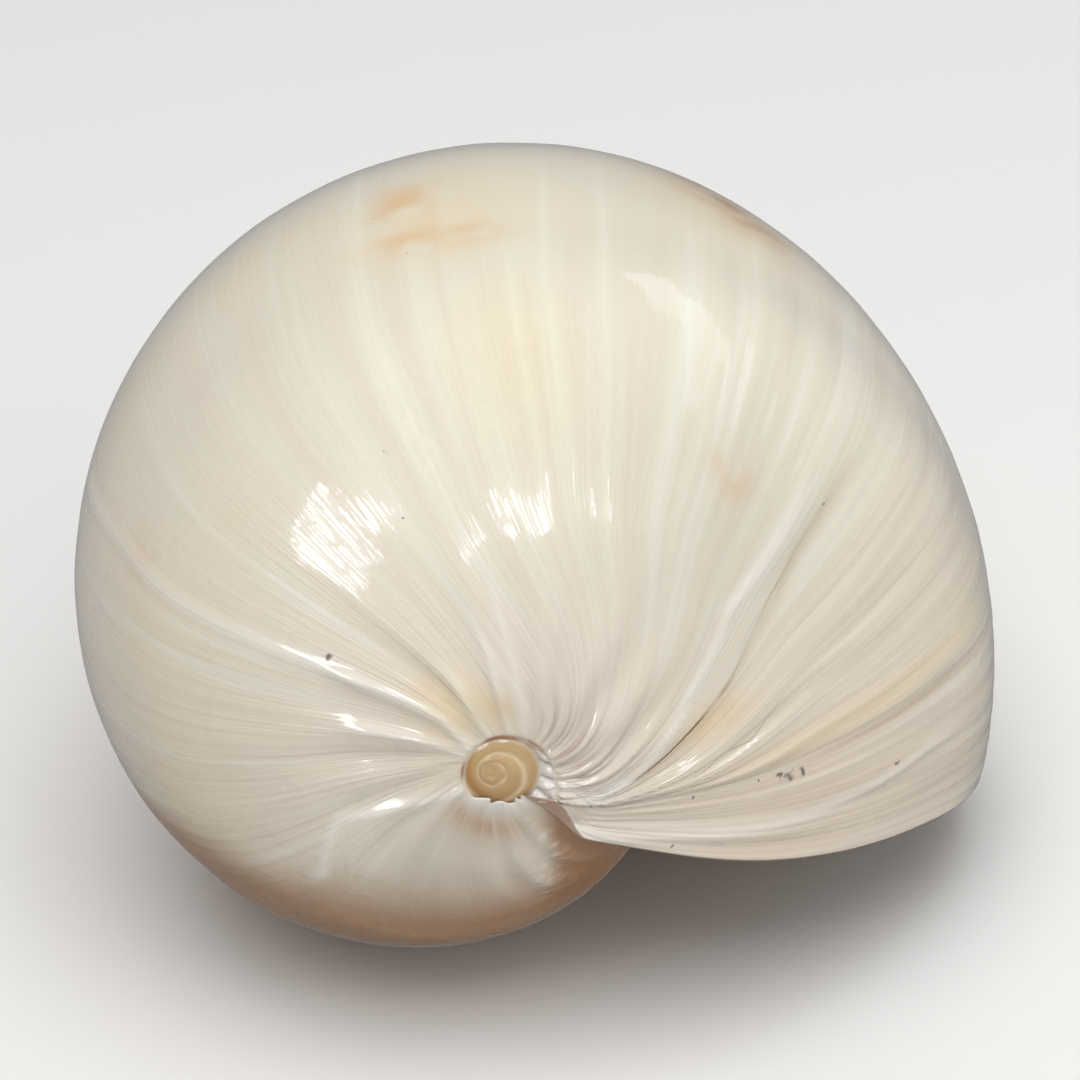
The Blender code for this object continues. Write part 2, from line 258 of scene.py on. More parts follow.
def round_the_whorl(sections, bearing, ease):
    a, b, c, d = (sections[..., n] for n in range(4))
    t = (bearing - FIRST_SECTION) / SECTION_STEP
    slope = (-11.0 * a + 18.0 * b - 9.0 * c + 2.0 * d) / 6.0
    early = a + slope * ease * (np.exp(np.minimum(t, 0.0) / ease) - 1.0)
    late = (
        -a * (t - 1.0) * (t - 2.0) * (t - 3.0) / 6.0
        + b * t * (t - 2.0) * (t - 3.0) / 2.0
        - c * t * (t - 1.0) * (t - 3.0) / 2.0
        + d * t * (t - 1.0) * (t - 2.0) / 6.0
    )
    return np.where(t < 0.0, early, late)


def whorl(bearing, station):
    radius = np.exp(round_the_whorl(through(RADII, station), bearing, RADIUS_EASE))
    return radius, round_the_whorl(through(DEPTHS, station), bearing, DEPTH_EASE)


def place(bearing, radius, depth):
    angle = np.radians(SUTURE_BEARING - bearing)
    return np.stack((radius * np.cos(angle), depth, radius * np.sin(angle)), -1)


def folds(bearing, station, height):
    fade = smooth((FOLD_END - bearing) / FOLD_FADE)
    climb = FOLD_CLIMB * (bearing - FIRST_SECTION)
    return height * fade * sum(bell(station - s - climb, FOLD_WIDTH) for s in FOLD_STATIONS)


def notch(growth, station):
    fresh = NOTCH_DEPTH * np.exp(growth / NOTCH_LENGTH)
    return (FASCIOLE_GROOVE + fresh) * bell(station - NOTCH_STATION, NOTCH_WIDTH)


def outside(growth, station, fold_height):
    bearing = growth - through(LAGS, station)
    radius, depth = whorl(bearing, station)
    radius = radius + folds(bearing, station, fold_height)
    return place(bearing, radius, depth - notch(growth, station))


def outward(growth, station, fold_height):
    """The unit normal out of the wall, from small steps over the smooth surface."""
    step = 0.02
    here = np.clip(station, step, len(STATIONS) - 1 - step)
    along = outside(growth, here + step, fold_height) - outside(growth, here - step, fold_height)
    across = outside(growth + 1.0, here, fold_height) - outside(growth - 1.0, here, fold_height)
    normal = np.cross(across, along)
    return normal / np.linalg.norm(normal, axis=-1, keepdims=True)


def inside(station, share):
    drawn = smooth(share / ENDS_DRAWN_IN)
    start = HOLLOW_APEX[0] + (HOLLOW_APEX[1] - HOLLOW_APEX[0]) * drawn
    end = HOLLOW_FRONT[0] + (HOLLOW_FRONT[1] - HOLLOW_FRONT[0]) * drawn
    moved = start + (station - 1.0) / 8.0 * (end - start)
    lag = through(LAGS, moved)
    return moved, -lag - share * (HOLLOW_END - lag), np.minimum(moved - start, end - moved)


def earlier_wall(station, share, fold_height):
    moved, bearing, _ = inside(station, share)
    bearing = bearing - TURN
    radius, depth = whorl(bearing, moved)
    radius = radius + folds(bearing, moved, fold_height)
    depth = depth - FASCIOLE_GROOVE * bell(moved - NOTCH_STATION, NOTCH_WIDTH)
    depth = depth - CORNER_WALL * smooth((moved - 7.6) / 1.4) * smooth(share / 0.25)
    return place(bearing, radius, depth)


def lip_wall(station, share, fold_height):
    moved, bearing, from_end = inside(station, share)
    growth = bearing + through(LAGS, moved)
    open_share = smooth(from_end / CORNER_BLEND)[..., None]
    wall = (LIP_WALL + (INNER_WALL - LIP_WALL) * smooth(share / 0.3))[..., None] * open_share
    point = outside(growth, moved, fold_height) - wall * outward(growth, moved, fold_height)
    earlier = earlier_wall(station, share, fold_height)
    return earlier + (point - earlier) * open_share


def scatter(x, y, seed):
    """Smooth noise from -1 to 1 with a grain of one unit."""
    x, y = np.broadcast_arrays(x, y)
    column, row = np.floor(x), np.floor(y)
    u, v = smooth(x - column), smooth(y - row)

    def corner(i, j):
        wave = np.sin((column + i) * 127.1 + (row + j) * 311.7 + seed * 74.7) * 4375.85
        return 2.0 * (wave - np.floor(wave)) - 1.0

    low = corner(0, 0) + (corner(1, 0) - corner(0, 0)) * u
    high = corner(0, 1) + (corner(1, 1) - corner(0, 1)) * u
    return low + (high - low) * v


def set_back(growth, station):
    """Growth along the sheet's lines, which stop short of the mouth near the suture."""
    short = LIP_SET_BACK * (1.0 - smooth(station / LIP_SET_BACK_END))
    return growth - short * smooth((growth + 60.0) / 60.0)


def growth_lines(growth, station):
    """The course of the growth lines, in degrees behind the lip, which turn back near the suture."""
    behind = np.maximum(-20.0 - growth, 0.0)
    turned = smooth((2.2 - station) / 1.9) * (1.0 - np.exp(-behind / 4.0)) * smooth((130.0 - behind) / 60.0)
    return growth - 32.0 * turned


def along_course(growth, station, course):
    """Distance in mm across a growth line that is given as (station, growth) points."""
    line = np.interp(station, [point[0] for point in course], [point[1] for point in course])
    radius = whorl(growth, station)[0]
    offset = (growth - line) * np.radians(radius)
    first, last = course[0][0], course[-1][0]
    return offset, smooth((station - first) / 0.25 + 1.0) * smooth((last - station) / 0.4 + 1.0)


def relief(growth, station):
    """Height in mm of pleats, growth ridges, crests, old breaks and dents over the smooth surface."""
    lines = growth_lines(growth, station)
    pleats = PLEAT_HEIGHT * smooth(station / 0.5) * bell(station - PLEAT_STATION, PLEAT_REACH)
    pleats = pleats * smooth((2.5 - station) / 1.3)
    height = pleats * np.cos(np.radians(PLEATS * growth)) * (0.7 + 0.3 * np.sin(np.radians(3 * growth)))
    late = smooth((growth + 110.0) / 60.0) * smooth((5.0 - station) / 3.0)
    near = bell(station - 1.0, 0.9) * smooth((growth + 290.0) / 50.0)
    for breadth, grains, seed, all_over, by_lip, by_suture in RIDGE_GRAINS:
        rise = all_over + by_lip * late + by_suture * near
        height = height + rise * scatter(lines / breadth, station * grains, seed)
    around = growth * np.radians(whorl(growth, station)[0])
    height = height + DENT_HEIGHT * scatter(around / DENT_BREADTH, station * DENT_GRAINS, DENT_SEED)
    for course, width, rise in RIDGES:
        offset, fade = along_course(growth, station, course)
        height = height + rise * fade * bell(offset, width)
    for course, width, drop in STEPS:
        offset, fade = along_course(growth, station, course)
        after = np.exp(-np.maximum(offset, 0.0) / width) * smooth(offset / 1.4 + 0.5)
        height = height - drop * fade * after
    return height * smooth(station / 0.12) * smooth((8.9 - station) / 0.5)


def frill_lobes(growth, station):
    """The uneven lobes of the frill, from 0.6 between them to 1."""
    wander = 0.3 * scatter(growth / 17.0, station * 2.0, FRILL_SEED)
    return 0.8 + 0.2 * np.sin(2.0 * np.pi * (growth / FRILL_LOBE + wander))


def frill(growth, station):
    """Height in mm of the crumpled folds where the last turn starts, beside the first shell."""
    lobes = frill_lobes(growth, station)
    return FRILL_HEIGHT * smooth((-262.0 - growth) / 22.0) * lobes * bell(station, 0.09 + 0.04 * lobes)


def surface(growth, station, fold_height):
    """The outside with its relief."""
    height = relief(growth, station) * smooth((growth + 358.0) / 6.0 + 0.35)
    normal = outward(growth, station, fold_height)
    point = outside(growth, station, fold_height) + height[..., None] * normal
    rise = frill(growth, station)
    inwards = FRILL_LEAN * rise / np.maximum(np.hypot(point[..., 0], point[..., 2]), 1.0)
    point[..., 0] -= point[..., 0] * inwards
    point[..., 2] -= point[..., 2] * inwards
    point[..., 1] -= rise
    return point


def strip_lumps(growth, strip):
    """The few big lumps of the strip, from 0 in their creases to 1."""
    wander = 0.35 * scatter(growth / 27.0, strip, LUMP_SEED)
    return np.abs(np.sin(np.pi * (growth / LUMP_BREADTH + 0.25 * strip + wander))) ** 0.6


def apex(growth, column):
    """The strip of the earlier whorl inside the suture, the groove, and the first shell on top."""
    strip = np.clip(column / STRIP_COLUMNS, 0.0, 1.0)
    growth = growth + (set_back(growth, 0.0) - growth) * (1.0 - strip)
    radius, depth = whorl(growth, np.zeros_like(growth))
    wide = smooth((radius - 6.4) / 1.2)
    crumple = strip_lumps(growth, strip) - 0.4 + 0.15 * scatter(growth / 9.0, strip * 2.0, CRUMPLE_SEED)
    crumple = crumple * wide * np.sin(np.pi * strip) ** 0.7
    low = depth + GROOVE_FALL + (GROOVE_DEPTH - depth - GROOVE_FALL) * smooth((growth + 150.0) / 100.0)
    low = np.where(growth < -TURN / 2, np.minimum(low, GROOVE_DEPTH), low)
    fall = (0.45 + 0.2 * (1.0 - wide)) * smooth(strip / 0.25)
    strip_radius = radius + (NUCLEUS_RADIUS - radius) * strip
    strip_depth = depth + (low - depth) * (fall + (1.0 - fall) * strip**2)
    curl = frill(growth, 0.0) * (1.0 - strip) ** 2
    strip_radius = strip_radius - FRILL_LEAN * curl
    strip_depth = strip_depth - STRIP_CRUMPLE * crumple - curl
    share = np.clip((DOME_COLUMNS - column) / (DOME_COLUMNS - STRIP_COLUMNS), 0.0, 1.0)
    point = place(growth, np.where(column > STRIP_COLUMNS, NUCLEUS_RADIUS * share, strip_radius), strip_depth)
    offset = np.where(column > STRIP_COLUMNS, 1.0 - share, 0.0)
    point[..., 0] += NUCLEUS_CENTRE[0] * offset
    point[..., 2] += NUCLEUS_CENTRE[1] * offset
    outer = np.hypot(point[..., 0], point[..., 2]) / NUCLEUS_RADIUS
    level = GROOVE_DEPTH + (low - GROOVE_DEPTH) * share
    dome = DOME_TOP + (level - DOME_TOP) * outer**2.4
    turned, small = spiral(growth, share)
    groove = np.minimum(turned, 1.0 - turned)
    dome = dome - small * (0.34 * np.sin(np.pi * turned) ** 0.7 - 0.17)
    on_dome = column > STRIP_COLUMNS
    point[..., 1] = np.where(on_dome, dome, point[..., 1])
    return point, np.where(on_dome, 0.5 + (groove - 0.5) * small, 0.5)


def spiral(growth, share):
    """Where a point of the first shell is between one turn of its suture and the next."""
    clockwise = (growth - SUTURE_BEARING) / TURN
    turn = np.log(np.maximum(share, 0.02) / SPIRAL_START) / np.log(SPIRAL_GROWTH)
    return (turn - clockwise) % 1.0, smooth(share / 0.12) * smooth((1.0 - share) / 0.12)


def to_row(point):
    """From the shell's own axis to its place at rest on the floor, in metres, with its flats worn."""
    placed = (point @ REST_TURN.T + REST_SHIFT) * MM
    placed[..., 2] = np.maximum(placed[..., 2], 0.0)
    return placed


def sheet_stations():
    steps = [np.linspace(n, n + 1, count + 1)[1:] for n, count in enumerate(STATION_COLUMNS)]
    return np.concatenate([[0.0], *steps])


def sheet_growths():
    share = 1.0 - np.arange(OUTSIDE_LINES + 1) / OUTSIDE_LINES
    return -TURN * share**LINE_CROWDING


class Layout:
    """The rows and columns of the flat sheet, before it is rolled up."""

    stations = sheet_stations()
    growths = sheet_growths()
    mouth = INSIDE_LINES
    lip = INSIDE_LINES + OUTSIDE_LINES
    edge = INSIDE_LINES + OUTSIDE_LINES + RIM_LINES
    rows = 2 * INSIDE_LINES + OUTSIDE_LINES + RIM_LINES
    suture = DOME_COLUMNS
    corner = DOME_COLUMNS + STATION_COLUMNS[0]
    front = DOME_COLUMNS + sum(STATION_COLUMNS)
    columns = DOME_COLUMNS + sum(STATION_COLUMNS) + TIP_COLUMNS


def rolled(row, column, fold_height):
    """The rolled-up place in mm of each point of the sheet, and its marks."""
    station = np.interp(column - Layout.suture, np.arange(len(Layout.stations)), Layout.stations)
    growth = np.interp(row - Layout.mouth, np.arange(OUTSIDE_LINES + 1), Layout.growths)
    inwards = (Layout.suture - column).astype(float)
    point = np.zeros((len(row), 3))
    groove = np.full(len(row), 0.5)

    def outer(rows_growth, where):
        places = np.empty((len(where), 3))
        body = (column[where] >= Layout.suture) & (column[where] <= Layout.front)
        top = column[where] < Layout.suture
        tip = column[where] > Layout.front
        chosen = where[body]
        places[body] = surface(set_back(rows_growth[body], station[chosen]), station[chosen], fold_height)
        places[top], groove[where[top]] = apex(rows_growth[top], inwards[where[top]])
        ring = column[where[tip]] - Layout.front
        tip_radius = np.interp(ring, range(TIP_COLUMNS + 1), TIP_RADII)
        tip_depth = np.interp(ring, range(TIP_COLUMNS + 1), TIP_DEPTHS)
        places[tip] = place(rows_growth[tip] - LAGS[-1], tip_radius, tip_depth)
        return places

    shell = np.flatnonzero((row >= Layout.mouth) & (row <= Layout.lip))
    point[shell] = outer(growth[shell], shell)

    early = np.flatnonzero(row < Layout.mouth)
    share = 1.0 - row[early] / INSIDE_LINES
    point[early] = earlier_wall(station[early], share, fold_height)
    late = np.flatnonzero(row >= Layout.edge)
    share = (row[late] - Layout.edge) / INSIDE_LINES
    point[late] = lip_wall(station[late], share, fold_height)

    for far in (early[row[early] == 0], late[row[late] == Layout.rows]):
        share = np.ones(len(far))
        before = earlier_wall(station[far], share, fold_height)
        point[far] = (before + lip_wall(station[far], share, fold_height)) / 2.0

    low = np.flatnonzero((row == Layout.edge) & (column <= Layout.corner))
    point[low] = outer(np.full(len(low), -TURN), low)

    rim = np.flatnonzero((row > Layout.lip) & (row < Layout.edge))
    last, first = np.zeros(len(rim)), np.full(len(rim), -TURN)
    start = outer(last, rim)
    end = outer(first, rim)
    open_rim = (column[rim] > Layout.corner) & (column[rim] <= Layout.front)
    chosen = rim[open_rim]
    end[open_rim] = lip_wall(station[chosen], np.zeros(len(chosen)), fold_height)
    turn = (row[rim] - Layout.lip) / RIM_LINES * np.pi
    ahead = outside(last + 1.0, station[rim], fold_height) - outside(last - 1.0, station[rim], fold_height)
    ahead /= np.maximum(np.linalg.norm(ahead, axis=-1, keepdims=True), 1e-9)
    taper = smooth((9.0 - station[rim]) / 0.5) * smooth(station[rim] / 0.8)
    middle, half = (start + end) / 2.0, (start - end) / 2.0
    bulge = (LIP_BULGE * taper * np.sin(turn))[:, None] * ahead
    point[rim] = middle + half * np.cos(turn)[:, None] + bulge
    return point, growth, station, groove


def spots(growth, station, places):
    """Soft patches, given as (growth, station, reach across in mm, reach along in stations, strength)."""
    radius = whorl(growth, station)[0]
    total = np.zeros(len(growth))
    for middle, level, across, along, strength in places:
        offset = (growth - middle) * np.radians(radius)
        total = np.maximum(total, strength * bell(offset, across) * bell(station - level, along))
    return total


def patch(growth, station, middle, reach, level, height):
    """One soft patch round a growth in degrees and a station, with its reach each way."""
    return bell(growth - middle, reach) * bell(station - level, height)


def strongest(growth, station, courses):
    """How near each point is to the nearest of some courses, each with its width in mm and its strength."""
    total = np.zeros(len(growth))
    for course, middle, width, strength in courses:
        offset, fade = along_course(growth, station, course)
        total = np.maximum(total, fade * bell(offset - middle, width) * strength)
    return total


def body_marks(growth, station):
    """The marks of the outside."""
    low_edge, low_glaze = np.interp(growth, *BROWN_BELLY_SHADE_EDGE), np.interp(growth, *GLAZE_EDGE)
    feather = smooth((growth + 350.0) / 10.0) * smooth((-300.0 - growth) / 20.0)
    lobes = smooth(1.4 * frill_lobes(growth, station))
    crests = [(course, 0.0, 1.3 * width, min(1.0, rise / 0.5)) for course, width, rise in RIDGES]
    tears = [(course, 0.5, 1.2, drop / 0.5) for course, _, drop in STEPS]
    return {
        "stain": spots(growth, station, STAINS),
        "scorch": spots(growth, station, SCORCHES),
        "butter": spots(growth, station, YELLOWS),
        "pale": np.maximum(
            patch(growth, station, -98.0, 55.0, 2.8, 1.5),
            0.6 * patch(growth, station, -240.0, 24.0, 1.5, 0.6),
        ),
        "blush": smooth((growth + 60.0) / 50.0) * smooth((4.5 - station) / 2.5) * smooth(station / 2.0),
        "milky": bell(station - 0.9, 0.8) * smooth((growth + 235.0) / 60.0),
        "scaly": patch(growth, station, -243.0, 22.0, 2.6, 1.1),
        "mauve": bell(station - 0.45, 0.4)
        * smooth((growth + 115.0) / 30.0)
        * smooth((-12.0 - growth) / 20.0),
        # Painted shade in the crease below the frill, beside the first shell.
        "frill_shade": patch(growth, station, -292.0, 45.0, 0.38, 0.22),
        # Painted shade on the underside, and a weaker grey darkening right of the crown.
        "grey_shade": np.maximum(
            smooth((-222.0 - growth) / 50.0) * smooth((2.8 - station) / 1.2),
            0.6 * patch(growth, station, -66.0, 22.0, 2.3, 0.8),
        ),
        "flaky": patch(growth, station, -125.0, 62.0, 2.3, 1.0),
        "glaze": smooth((6.5 - station) / 2.5)
        * smooth((station - low_glaze) / 0.5 + 0.3)
        * smooth((-298.0 - growth) / 25.0),
        # Painted brown shade on the underside, from its edge down towards the floor.
        "brown_belly_shade": smooth((station - low_edge) / 1.3)
        * np.maximum(smooth((growth + 345.0) / 20.0), smooth((station - 6.0) / 1.5)),
        "feather": feather * bell(station - low_glaze, 0.36),
        "crest": strongest(growth, station, crests),
        "tear": strongest(growth, station, tears),
        "frill": bell(station, 0.15) * smooth((-258.0 - growth) / 20.0) * (0.35 + 0.65 * lobes),
        "fine": smooth(station / 1.1) * smooth((8.9 - station) / 0.8),
    }


def marks(row, column, growth, station, groove):
    """How much of each tint and finish there is at each point of the sheet."""
    body = (row >= Layout.mouth) & (row <= Layout.lip) & (column >= Layout.suture)
    found = {name: body * values for name, values in body_marks(growth, station).items()}

    inwards = Layout.suture - column
    strip = np.clip(inwards / STRIP_COLUMNS, 0.0, 1.0)
    first_shell = inwards > STRIP_COLUMNS
    on_strip = (inwards > 0) & ~first_shell
    wide = smooth((whorl(growth, station)[0] - 6.6) / 0.8)
    # Painted shadow along the suture, over the left, top and right of the first shell.
    shadowed_span = smooth((growth + 248.0) / 25.0) * smooth((-42.0 - growth) / 25.0)
    seam = body * np.exp(-station / 0.035) + on_strip * np.maximum(1.0 - wide, strip < 0.15)
    late = smooth((growth + 75.0) / 50.0) * (0.35 + 0.65 * smooth((4.8 - station) / 2.5))
    combed = np.maximum(late, 0.6 * bell(growth + 215.0, 26.0))
    by_suture = 0.7 * bell(station - 0.6, 1.0) * smooth((growth + 255.0) / 30.0)
    dome_edge = first_shell * smooth((13.0 + STRIP_COLUMNS - inwards) / 13.0)
    found["frill"] = np.maximum(found["frill"], on_strip * np.maximum(wide, smooth((-268.0 - growth) / 20.0)))
    return found | {
        "combed": np.maximum(combed, by_suture),
        # Painted shadow in the creases between the strip's lumps.
        "lump_shadow": on_strip * wide * (1.0 - strip_lumps(growth, strip)) ** 1.5,
        "amber": dome_edge * bell(growth + 262.0, 70.0),
        "seam": shadowed_span * seam,
        "dome": first_shell * smooth(inwards - STRIP_COLUMNS - 0.5),
        "suture": first_shell * np.exp(-((groove / 0.09) ** 2)),
        "rim": ((row > Layout.lip) & (row < Layout.edge)).astype(float),
        "hollow": ((row < Layout.mouth) | (row >= Layout.edge)).astype(float),
    }


def deselect_all():
    if bpy.context.object and bpy.context.object.mode != "OBJECT":
        bpy.ops.object.mode_set(mode="OBJECT")
    bpy.ops.object.select_all(action="DESELECT")


def select_faces(sheet, chosen):
    bpy.ops.object.mode_set(mode="OBJECT")
    count = len(sheet.data.polygons)
    sheet.data.polygons.foreach_set("select", np.asarray(chosen, bool)[:count])
    sheet.data.edges.foreach_set("select", np.zeros(len(sheet.data.edges), bool))
    sheet.data.vertices.foreach_set("select", np.zeros(len(sheet.data.vertices), bool))
    bpy.ops.object.mode_set(mode="EDIT")
    bpy.ops.mesh.select_mode(type="FACE")


def sheet_places(sheet):
    """The row and column of each of the flat sheet's points."""
    flat = np.empty(len(sheet.data.vertices) * 3, np.float32)
    sheet.data.vertices.foreach_get("co", flat)
    flat = flat.reshape(-1, 3)
    row = np.rint((flat[:, 0] + 1.0) / 2.0 * Layout.rows).astype(int)
    column = np.rint((flat[:, 1] + 1.0) / 2.0 * Layout.columns).astype(int)
    return row, column


def add_flat_sheet(name):
    """A flat sheet with a place for every line and column, cut to its outline."""
    deselect_all()
    bpy.ops.mesh.primitive_grid_add(
        x_subdivisions=Layout.rows, y_subdivisions=Layout.columns, size=2.0, location=(0.0, 0.0, 0.0)
    )
    sheet = bpy.context.object
    sheet.name = sheet.data.name = name
    row, column = sheet_places(sheet)
    corners = np.empty(len(sheet.data.loops), np.int32)
    sheet.data.loops.foreach_get("vertex_index", corners)
    corners = corners.reshape(-1, 4)
    face_row, face_column = row[corners].min(1), column[corners].min(1)
    hollow = (face_row < Layout.mouth) | (face_row >= Layout.edge)
    rim = (face_row >= Layout.lip) & (face_row < Layout.edge)
    outside_outline = hollow & ((face_column < Layout.corner) | (face_column >= Layout.front))
    outside_outline |= rim & ((face_column < Layout.suture - STRIP_COLUMNS) | (face_column > Layout.front))
    select_faces(sheet, outside_outline)
    bpy.ops.mesh.delete(type="FACE")
    bpy.ops.object.mode_set(mode="OBJECT")
    return sheet


def add_map(sheet, name, u, v):
    layer = sheet.data.uv_layers.new(name=name) if not sheet.data.uv_layers else sheet.data.uv_layers[0]
    layer.name = name
    corners = np.empty(len(sheet.data.loops), np.int32)
    sheet.data.loops.foreach_get("vertex_index", corners)
    layer.data.foreach_set("uv", np.stack((u[corners], v[corners]), -1).astype(np.float32).ravel())


def add_mark(sheet, name, values):
    mark = sheet.data.attributes.new(name, "FLOAT", "POINT")
    mark.data.foreach_set("value", np.clip(values, 0.0, 1.0).astype(np.float32))


def roll_up(sheet, fold_height):
    """Rolls the flat sheet into the shell, and paints its map and marks on it."""
    row, column = sheet_places(sheet)
    point, growth, station, groove = rolled(row, column, fold_height)
    sheet.data.vertices.foreach_set("co", to_row(point).astype(np.float32).ravel())
    lines = growth_lines(growth, station)
    add_map(sheet, "growth_map", lines / TURN + 1.0, station / 9.0)
    for name, values in marks(row, column, growth, station, groove).items():
        add_mark(sheet, name, values)
    sheet.data.update()


def close_seams(sheet):
    """Joins the edges that meet, turns every face outwards and smooths the shading."""
    deselect_all()
    sheet.select_set(True)
    bpy.context.view_layer.objects.active = sheet
    bpy.ops.object.mode_set(mode="EDIT")
    bpy.ops.mesh.select_all(action="SELECT")
    bpy.ops.mesh.remove_doubles(threshold=1e-6)
    bpy.ops.mesh.dissolve_degenerate(threshold=1e-7)
    bpy.ops.mesh.select_all(action="SELECT")
    bpy.ops.mesh.normals_make_consistent(inside=False)
    bpy.ops.object.mode_set(mode="OBJECT")
    bpy.ops.object.shade_smooth()


class NodePen:
    """Adds nodes to a material and joins them."""

    def __init__(self, material):
        material.use_nodes = True
        self.tree = material.node_tree
        self.tree.nodes.clear()
        self.marks = {}

    def add(self, kind, settings=None, **inputs):
        node = self.tree.nodes.new(kind)
        for name, value in (settings or {}).items():
            setattr(node, name, value)
        for name, value in inputs.items():
            self.feed(node, name.replace("_", " "), value)
        return node

    def feed(self, node, name, value):
        socket = node.inputs[int(name[1:])] if name[0] == "n" and name[1:].isdigit() else node.inputs[name]
        if isinstance(value, bpy.types.NodeSocket):
            self.tree.links.new(value, socket)
        else:
            socket.default_value = value

    def math(self, operation, first, second=0.0):
        node = self.add("ShaderNodeMath", {"operation": operation}, n0=first, n1=second)
        return node.outputs[0]

    def product(self, first, *others):
        for other in others:
            first = self.math("MULTIPLY", first, other)
        return first

    def rest(self, value):
        """What is left of one."""
        return self.math("SUBTRACT", 1.0, value)

    def mark(self, name):
        if name not in self.marks:
            self.marks[name] = self.add("ShaderNodeAttribute", {"attribute_name": name}).outputs["Fac"]
        return self.marks[name]

    def ramp(self, value, low, high):
        node = self.add("ShaderNodeMapRange", {"interpolation_type": "SMOOTHSTEP"}, Value=value)
        node.inputs["From Min"].default_value = low
        node.inputs["From Max"].default_value = high
        return node.outputs["Result"]

    def grain(self, vector, scale, detail=2.0, rough=0.5):
        node = self.add("ShaderNodeTexNoise", Vector=vector, Scale=scale, Detail=detail, Roughness=rough)
        return node.outputs["Fac"]

    def stretched(self, vector, across, along, shift=0.0):
        node = self.add("ShaderNodeMapping", Vector=vector)
        node.inputs["Scale"].default_value = (TURN / across, 9.0 / along, 1.0)
        node.inputs["Location"].default_value = (shift, shift * 0.7, 0.0)
        return node.outputs["Vector"]

    def crack(self, course, points, width, broken):
        """A thin line over the map through (station, growth) points, broken up by some grain."""
        split = self.add("ShaderNodeSeparateXYZ", Vector=course)
        curve = self.add("ShaderNodeFloatCurve", Value=split.outputs["Y"])
        line = curve.mapping.curves[0]
        ends = [(0.0, points[0][1]), *((s / 9.0, g) for s, g in points), (1.0, points[-1][1])]
        places = [(s, growth_lines(np.array(g), np.array(s * 9.0)) / TURN + 1.0) for s, g in ends]
        while len(line.points) < len(places):
            line.points.new(0.5, 0.5)
        for point, place_of in zip(line.points, places):
            point.location = place_of
        curve.mapping.update()
        away = self.math("ABSOLUTE", self.math("SUBTRACT", split.outputs["X"], curve.outputs[0]))
        near = self.rest(self.ramp(away, 0.2 * width / TURN, width / TURN))
        start = self.ramp(split.outputs["Y"], (points[0][0] - 0.15) / 9.0, points[0][0] / 9.0)
        end = self.ramp(split.outputs["Y"], (points[-1][0] + 0.15) / 9.0, points[-1][0] / 9.0)
        return self.product(near, start, end, self.ramp(broken, 0.25, 0.5))

    def dots(self, body, places):
        """Small pits, each at its place on the shell, moved as the ragged coordinates are on average."""
        nearest = 1.0
        for growth, station, reach in places:
            point = to_row(outside(np.array([growth]), np.array([station]), 0.0))[0] + PIT_RAGGEDNESS / 2.0
            far = self.add("ShaderNodeVectorMath", {"operation": "DISTANCE"}, n0=body, n1=tuple(point))
            nearest = self.math("MINIMUM", nearest, self.math("DIVIDE", far.outputs["Value"], reach * MM))
        return self.rest(self.ramp(nearest, 0.3, 1.0))

    def tint(self, under, over, amount):
        node = self.add("ShaderNodeMix", {"data_type": "RGBA"})
        self.feed(node, "n0", amount)
        self.feed(node, "n6", under)
        self.feed(node, "n7", over)
        return node.outputs[2]


def opaque(colour):
    return tuple(colour) + (1.0,)


def lay_tints(pen, colour, tints, grains, settings):
    """Lays tints over a colour, each where its mark is and where its grain, if it has one, is strong."""
    for mark, tone, strength, *broken in tints:
        amount = pen.product(pen.mark(mark), strength) if mark else strength
        if broken:
            grain, low, high = broken
            amount = pen.product(pen.ramp(grains[grain], low, high), amount)
        tone = getattr(settings, tone) if isinstance(tone, str) else tone
        colour = pen.tint(colour, opaque(tone), amount)
    return colour


def shell_grains(pen, course, body):
    """The noises of the shell, along the growth lines or the same in every direction."""
    return {
        "streak": pen.grain(pen.stretched(course, 5.0, 5.0), 1.0, 2.0, 0.6),
        "narrow": pen.grain(pen.stretched(course, 0.9, 2.2, 3.0), 1.0, 2.0, 0.6),
        "ridge": pen.grain(pen.stretched(course, 2.3, 3.0, 9.0), 1.0),
        "wisp": pen.grain(pen.stretched(course, 9.0, 0.11, 5.0), 1.0, 1.0, 0.6),
        "flake": pen.grain(pen.stretched(course, 1.8, 0.16, 7.0), 1.0, 2.0, 0.6),
        "broad": pen.grain(body, 26.0, 1.0),
        "cloud": pen.grain(body, 70.0, 2.0, 0.6),
        "mottle": pen.grain(body, 130.0, 1.0),
        # Grain that breaks up the painted suture shadow.
        "shadow_grain": pen.grain(body, 240.0, 1.0),
        "scale": pen.grain(body, 330.0, 0.0),
    }


